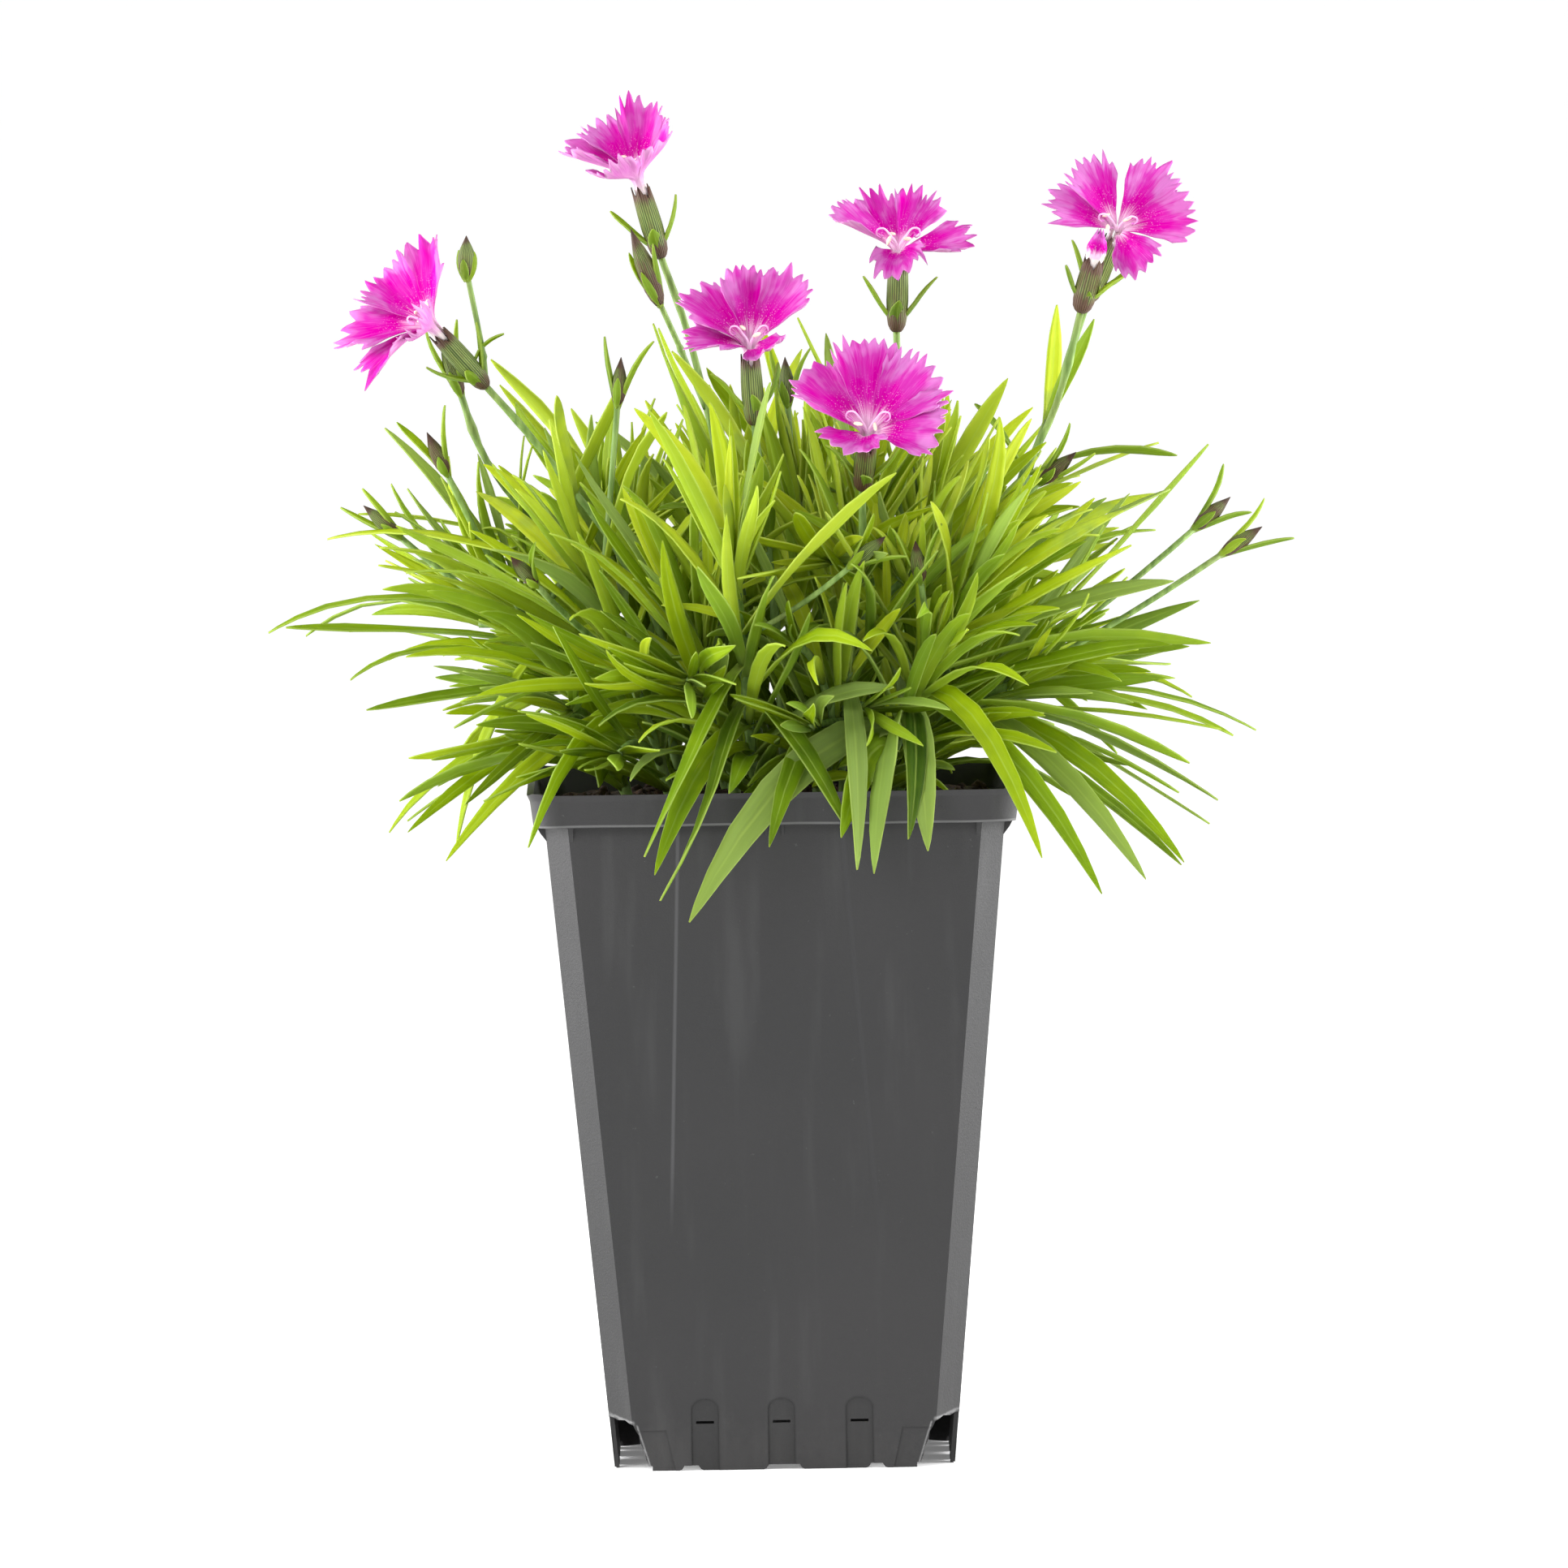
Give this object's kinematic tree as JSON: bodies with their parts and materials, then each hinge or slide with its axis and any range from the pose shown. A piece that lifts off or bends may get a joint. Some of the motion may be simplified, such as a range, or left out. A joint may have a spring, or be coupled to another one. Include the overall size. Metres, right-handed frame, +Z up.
{
  "type": "potted dianthus plant",
  "caption": "Flowering dianthus in a square tapered nursery pot: a mound of narrow leaves with fringed pink blooms and buds on slender stalks above it.",
  "frame": {"origin": "under the middle of the pot, on the surface that the pot stands on", "axes": "+Z up; -Y towards the front of the pot, where the torn corners of the skirt are; +X to the right as seen from the front"},
  "size_m": [0.1848, 0.151, 0.2515],
  "materials": {
    "pot_plastic": "matt anthracite, slightly scuffed, with soil marks near the foot",
    "peat": "crumbly dark brown potting soil",
    "leaf": "satin, bright yellow green with a paler midrib",
    "stalk": "satin, bluish green, flushed brown and purple at the calyx",
    "petal": "matt magenta pink, paler and veined towards the fringe and the throat",
    "style": "matt lilac white"
  },
  "bodies": {
    "root": {"pot": "pot_plastic", "soil": "peat", "leafy_shoot_1": "leaf", "leafy_shoot_2": "leaf", "leafy_shoot_3": "leaf", "leafy_shoot_4": "leaf", "leafy_shoot_5": "leaf", "leafy_shoot_6": "leaf", "leafy_shoot_7": "leaf", "leafy_shoot_8": "leaf", "leafy_shoot_9": "leaf", "leafy_shoot_10": "leaf", "leafy_shoot_11": "leaf", "leafy_shoot_12": "leaf", "leafy_shoot_13": "leaf", "leafy_shoot_14": "leaf", "leafy_shoot_15": "leaf", "leafy_shoot_16": "leaf", "leafy_shoot_17": "leaf", "flower_stem_left": "stalk", "flower_stem_top": "stalk", "flower_stem_middle": "stalk", "flower_stem_rear": "stalk", "flower_stem_front": "stalk", "flower_stem_right": "stalk", "bud_stalk": "stalk", "opening_bud_stem": "stalk", "corolla_left": "petal", "corolla_top": "petal", "corolla_middle": "petal", "corolla_rear": "petal", "corolla_front": "petal", "corolla_right": "petal", "styles_left": "style", "styles_top": "style", "styles_middle": "style", "styles_rear": "style", "styles_front": "style", "styles_right": "style", "opening_bud_petals": "petal"}
  },
  "joints": []
}
